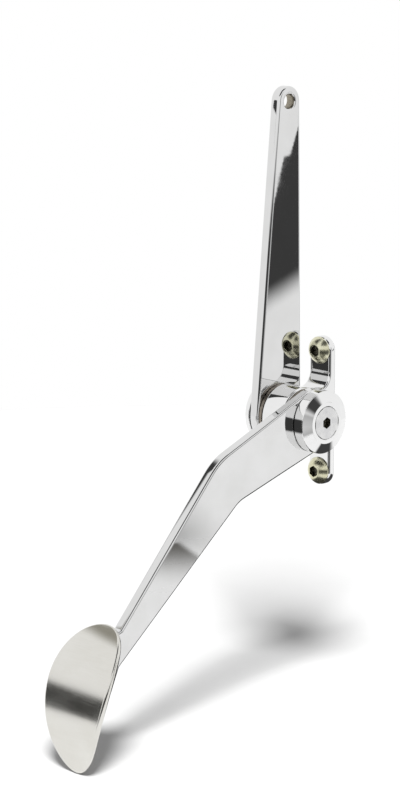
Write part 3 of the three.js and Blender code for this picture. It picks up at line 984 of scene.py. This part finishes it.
def make_object():
    upright = chrome("chrome_lever", (0.3, 7, 7), 0.71)
    slanted = chrome("chrome_arm", (0.3, 6, 6), 0.71)
    round_chrome = chrome("chrome_turned", (0.5, 4, 4), 0.82)
    bracket_chrome = chrome("chrome_bracket", (5, 0.4, 5), 0.82)
    steel, bronze, zinc = bright_steel(), oily_shaded_bronze(), yellow_zinc()
    # Near-black inside the hex sockets: painted shade for the recess.
    socket_shade = dark_hollow_metal("socket_painted_shade", (0.07, 0.065, 0.045), (0.26, 0.25, 0.2))
    bore = dark_hollow_metal("eye_bore", (0.26, 0.235, 0.19), (0.4, 0.37, 0.3))
    finish_piece(throttle_lever(), upright, "pedal", "throttle_lever", bore)
    finish_piece(pedal_arm(), slanted, "pedal", "pedal_arm")
    finish_piece(spoon_pad(), satin_pad(), "pedal", "spoon_pad")
    finish_piece(weld_bead(), weld_metal(), "pedal")
    finish_piece(pivot_bracket(), bracket_chrome, "bracket", "pivot_bracket")
    bushings = flanged_bushing("bush_right"), to_lever_side(flanged_bushing("bush_left"))
    caps = (end_cap("cap_right", CAP_BACK, PEDAL_CAP_HIGH.x),
            to_lever_side(end_cap("cap_left", CAP_BACK, -LEVER_CAP_LOW.x)))
    screws = (flat_head_screw("cap_screw_right", PEDAL_SCREW_LOW.x, PEDAL_SCREW_HIGH.x),
              to_lever_side(flat_head_screw("cap_screw_left", -LEVER_SCREW_HIGH.x, -LEVER_SCREW_LOW.x)))
    for side, bushing, cap, screw in zip(("pedal_side", "lever_side"), bushings, caps, screws):
        finish_piece(bushing, bronze, "bracket", side + "_bushing")
        finish_piece(cap, round_chrome, "pedal", side + "_cap")
        finish_piece(screw, steel, "pedal", side + "_cap_screw", socket_shade)
    for name, height, node in (("ear_screw_top", EAR_HEIGHT, "upper_mounting_screw"),
                               ("ear_screw_bottom", -EAR_HEIGHT, "lower_mounting_screw")):
        finish_piece(button_head_screw(name, height), zinc, "bracket", node, socket_shade)
    finish_shaft(turned_steel())


def finish_shaft(material):
    """The CAD shaft keeps its shape, with its edges broken and its round faces shaded smooth."""
    shaft = bpy.data.objects["pivot_shaft"]
    shaft.data.materials.clear()
    shaft.data.materials.append(material)
    shaft.modifiers.new("Joined faces", "WELD").merge_threshold = JOIN_DISTANCE * MM
    break_edges(shaft, SHAFT_EDGE, steps=2)
    weigh_normals(shaft)


# ------------------------------ the studio
# The polished faces show what stands round them, so soft dark cards stand where a studio's dark
# surroundings would be. Only reflections see the cards.

def heading(degrees):
    """A level direction, in degrees from +X towards +Y."""
    return Vector((cos(radians(degrees)), sin(radians(degrees)), 0))


def square_to(out, way):
    """The direction nearest to way that is square to out."""
    return (way - out * out.dot(way)).normalized()


def rise(value, start, end):
    """0 at start, 1 at end, smooth between them."""
    part = min(1, max(0, (value - start) / (end - start)))
    return part * part * (3 - 2 * part)


def card_material(name, radiance):
    """A glow of one tone, as solid as the mesh's "cover" says and clear elsewhere."""
    material = bpy.data.materials.new(name)
    material.use_nodes = True
    nodes, links = material.node_tree.nodes, material.node_tree.links
    nodes.clear()
    cover = nodes.new("ShaderNodeAttribute")
    cover.attribute_name = "cover"
    glow = nodes.new("ShaderNodeEmission")
    glow.inputs["Color"].default_value = (*radiance, 1)
    clear = nodes.new("ShaderNodeBsdfTransparent")
    mix = nodes.new("ShaderNodeMixShader")
    output = nodes.new("ShaderNodeOutputMaterial")
    links.new(cover.outputs["Fac"], mix.inputs["Fac"])
    links.new(clear.outputs[0], mix.inputs[1])
    links.new(glow.outputs[0], mix.inputs[2])
    links.new(mix.outputs[0], output.inputs["Surface"])
    return material


def card(name, place, width, height, cover, radiance=CARD_BLACK):
    """A sheet seen only in reflections.

    place(w, h) is where it runs, and cover(w, h) is how solid it is there, from 0 to 1.
    """
    steps = CARD_STEPS
    mesh = bpy.data.meshes.new(name)
    points, values, faces = [], [], []
    for row in range(steps + 1):
        for column in range(steps + 1):
            w = width[0] + (width[1] - width[0]) * column / steps
            h = height[0] + (height[1] - height[0]) * row / steps
            points.append(place(w, h) * MM)
            values.append(cover(w, h))
    for row in range(steps):
        for column in range(steps):
            first = row * (steps + 1) + column
            faces.append([first, first + 1, first + steps + 2, first + steps + 1])
    mesh.from_pydata(points, [], faces)
    mesh.attributes.new("cover", "FLOAT", "POINT").data.foreach_set("value", values)
    mesh.materials.append(card_material(name, radiance))
    piece = add_object(name, mesh)
    piece.visible_camera = False
    piece.visible_diffuse = False
    piece.visible_transmission = False
    piece.visible_shadow = False


def flat_card(name, origin, across, up, width, height, cover, radiance=CARD_BLACK):
    card(name, lambda w, h: origin + across * w + up * h, width, height, cover, radiance)


def upright_card(name, start, facing, distance, width, height, cover, radiance=CARD_BLACK):
    """A card that stands square to a heading, some way from start."""
    origin = start + heading(facing) * distance
    flat_card(name, origin, heading(facing + 90), UP, width, height, cover, radiance)


def dim_side(name, layer, middle, half_width, low, high, near, radiance=CARD_BLACK):
    """A dim side of the room: a curved wall round the hub, and the dim table in front of it.

    Each side has a layer of its own, so no two sheets lie in one place.
    """
    def sides(facing):
        return rise(abs(facing - middle), half_width, half_width - SIDE_BLUR)

    def wall(facing, h):
        top = rise(h, high + ROOM_BLUR, high - ROOM_BLUR)
        return sides(facing) * top * rise(h, low - ROOM_BLUR, low)

    def table(facing, distance):
        return sides(facing) * rise(distance, near - ROOM_BLUR, near + ROOM_BLUR)

    def on_wall(facing, h):
        return HUB + heading(facing) * (ROOM_RADIUS + layer) + UP * h

    def on_table(facing, distance):
        return HUB + heading(facing) * distance + UP * (FLOOR_Z + TABLE_LIFT * layer)

    width = (middle - half_width, middle + half_width)
    bottom = max(low - ROOM_BLUR, FLOOR_Z)
    card(name + "_wall", on_wall, width, (bottom, high + ROOM_BLUR), wall, radiance)
    if near < ROOM_RADIUS:
        card(name + "_table", on_table, width, (near - ROOM_BLUR, ROOM_RADIUS), table, radiance)


def lever_card():
    """Behind on the right: the dark shape down the lever's broad face."""
    shoulder_side, shoulder_top, strip_side = (4.6, -2), (0.4, 26), (3.4, -5.2)
    corner_w, corner_h = -1, -5
    foot, foot_blur = (0.7, -68), 20
    blur = 0.7

    def below(line, w, h):
        """How far a point is below a line, given as its slope and its height at the middle."""
        slope, height = line
        return slope * w + height - h

    def cover(w, h):
        shoulder = min(below(shoulder_side, w, h), below(shoulder_top, w, h))
        beside = min(corner_w - w, corner_h - h)
        inside = max(shoulder, below(strip_side, w, h), beside)
        return rise(inside, -blur, blur) * rise(-below(foot, w, h), 0, foot_blur)

    upright_card("card_lever", HUB, 46, LEVER_CARD_DISTANCE, (-30, 50), (-75, 75), cover)


def arm_card():
    """On the table at the right: the grey corner in the arm's broad face, fading down the arm."""
    facing = -141.5
    first_angle, last_angle = radians(-15), radians(70)
    length = 90

    def cover(w, h):
        turn = atan2(h, w)
        inside = min(turn - first_angle, last_angle - turn)
        reach = hypot(w, h)
        return rise(inside * reach, -1, 5) * rise(reach, length, 0)

    flat_card("card_arm", Vector(ARM_CARD_TIP), heading(facing), heading(facing + 90),
              (-4, length + 2), (-30, length + 2), cover, ARM_CARD_TONE)


def pad_card():
    """In front on the left: the dark band across the pad."""
    half_width, height = 62, 80

    def cover(w, h):
        return rise(h, height, height - 17) * rise(abs(w), half_width, half_width - 14)

    upright_card("card_pad", Vector(PAD_CARD_START), -135, PAD_CARD_DISTANCE,
                 (-half_width - 3, half_width + 3), (0, height + 5), cover, PAD_CARD_TONE)


def pad_flag():
    """Up on the left: the dim top of the pad, further down on the right."""
    out = Vector(PAD_FLAG_DIRECTION).normalized()
    down = square_to(out, Vector((0, -1, 0)))
    origin = Vector(PAD_FLAG_START) + out * PAD_FLAG_DISTANCE
    half_width = 15
    slope = 0.7

    def cover(w, h):
        sides = rise(abs(w), half_width, half_width - 4)
        return rise(h - slope * w, 11, 1) * sides * rise(h, -4, -2)

    flat_card("card_pad_top", origin, out.cross(down), down, (-half_width - 5, half_width + 5),
              (-8, 32), cover, SKY_CARD_TONE)


def under_card():
    """On the table, behind and below: the dark lines along the lower and rear edges."""
    front, half_width, blur = -90, 30, 15
    right_slope, left_slope = 0.5, 0.7

    def cover(x, y):
        right = half_width + right_slope * (y - front) - x
        left = half_width + left_slope * (y - front) + x
        sides = rise(right, 0, blur) * rise(left, 0, blur)
        return sides * rise(y, -85, -65) * rise(y, 190, 150)

    def place(x, y):
        return HUB + Vector((x, y, FLOOR_Z + UNDER_CARD_LAYER * TABLE_LIFT))

    card("card_under", place, (-230, 175), (-85, 190), cover)


def arm_flag():
    """Where the arm's upper edge reflects the camera's view: the dark streak down from the knee."""
    start = Vector((ARM_MIDDLE_X, PIVOT_Y + KNEE_TOP[0], KNEE_TOP[1]))
    slope = Vector((0, ARM_END_TOP[0] - KNEE_TOP[0], ARM_END_TOP[1] - KNEE_TOP[1])).normalized()
    sight = (start - Vector(CAMERA_PLACE)).normalized()
    out = sight.reflect(Vector((0, slope.z, -slope.y)))
    along = square_to(out, slope)
    taper, soft = 0.042, 0.4

    def cover(w, h):
        right = soft - taper * h
        sides = rise(w, right + soft, right - soft) * rise(w, -5, -4)
        return sides * rise(h, 66, 46) * rise(h, -9, -2)

    origin = start + out * ARM_FLAG_DISTANCE
    flat_card("card_arm_edge", origin, out.cross(along), along, (-5, 3), (-10, 67), cover)


def lever_flag():
    """The dark wedge across the tip of the lever's front edge."""
    slope = -1.6
    half_band, soft = 4.6, 1

    def cover(w, h):
        return rise(abs(h - slope * w), half_band, half_band - soft)

    upright_card("card_lever_tip", Vector(LEVER_FLAG_START), -135.7, LEVER_FLAG_DISTANCE,
                 (-6, 6), (-14, 14), cover)


def ceiling_card():
    """Overhead on the right: the dark lines along the upper edges and the dark patch on the barrel."""
    first, last = -80, 44
    near, far = 60, 1100

    def cover(facing, distance):
        ends = rise(facing, first, first + 8) * rise(facing, last, last - 10)
        edge = far - 420 * rise(facing, -15, -3)
        return ends * rise(distance, near, near + 40) * rise(distance, edge, edge - 60)

    def place(facing, distance):
        return HUB + heading(facing) * distance + UP * CEILING_HEIGHT

    card("card_ceiling", place, (first, last), (near, far), cover)


def floor():
    mesh = bpy.data.meshes.new("studio_floor")
    disc = bmesh.new()
    bmesh.ops.create_circle(disc, cap_ends=True, segments=FLOOR_SIDES, radius=FLOOR_RADIUS * MM)
    disc.to_mesh(mesh)
    disc.free()
    mesh.materials.append(floor_paper())
    piece = add_object("studio_floor", mesh)
    piece.location = Vector((0, FLOOR_MIDDLE_Y, FLOOR_Z)) * MM


def key_light():
    """A soft sun that reflections don't show."""
    data = bpy.data.lights.new("key_softbox", "SUN")
    data.energy = KEY_STRENGTH
    data.angle = KEY_SPREAD
    light = add_object("key_softbox", data)
    light.rotation_euler = Vector(KEY_DIRECTION).to_track_quat("Z", "Y").to_euler()
    light.visible_glossy = False


def world():
    """White all round, and less of it for the light that reaches matt surfaces."""
    sky = bpy.data.worlds.new("white_studio")
    bpy.context.scene.world = sky
    sky.use_nodes = True
    nodes, links = sky.node_tree.nodes, sky.node_tree.links
    background = nodes["Background"]
    background.inputs["Color"].default_value = (1, 1, 1, 1)
    rays = nodes.new("ShaderNodeLightPath")
    fill_light = nodes.new("ShaderNodeMapRange")
    fill_light.inputs["To Min"].default_value = 1
    fill_light.inputs["To Max"].default_value = WORLD_FILL
    links.new(rays.outputs["Is Diffuse Ray"], fill_light.inputs["Value"])
    links.new(fill_light.outputs["Result"], background.inputs["Strength"])
    bpy.context.scene.view_settings.view_transform = "Standard"


def camera():
    data = bpy.data.cameras.new("camera")
    data.lens = CAMERA_LENS
    piece = add_object("camera", data)
    piece.location = Vector(CAMERA_PLACE) * MM
    piece.rotation_euler = Vector(CAMERA_DIRECTION).to_track_quat("-Z", "Y").to_euler()
    bpy.context.scene.camera = piece


def make_studio():
    floor()
    lever_card()
    arm_card()
    pad_card()
    pad_flag()
    under_card()
    arm_flag()
    lever_flag()
    ceiling_card()
    dim_side("room_front", 1, middle=-45, half_width=48, low=FLOOR_Z, high=84, near=215)
    dim_side("room_back", 2, middle=113, half_width=20, low=FLOOR_Z, high=40, near=150)
    dim_side("room_right", 3, middle=21, half_width=15, low=50, high=270, near=ROOM_RADIUS)
    dim_side("room_low_right", 4, middle=18, half_width=19, low=FLOOR_Z, high=45, near=260,
             radiance=LOW_RIGHT_TONE)
    key_light()
    world()
    camera()


make_object()
make_studio()
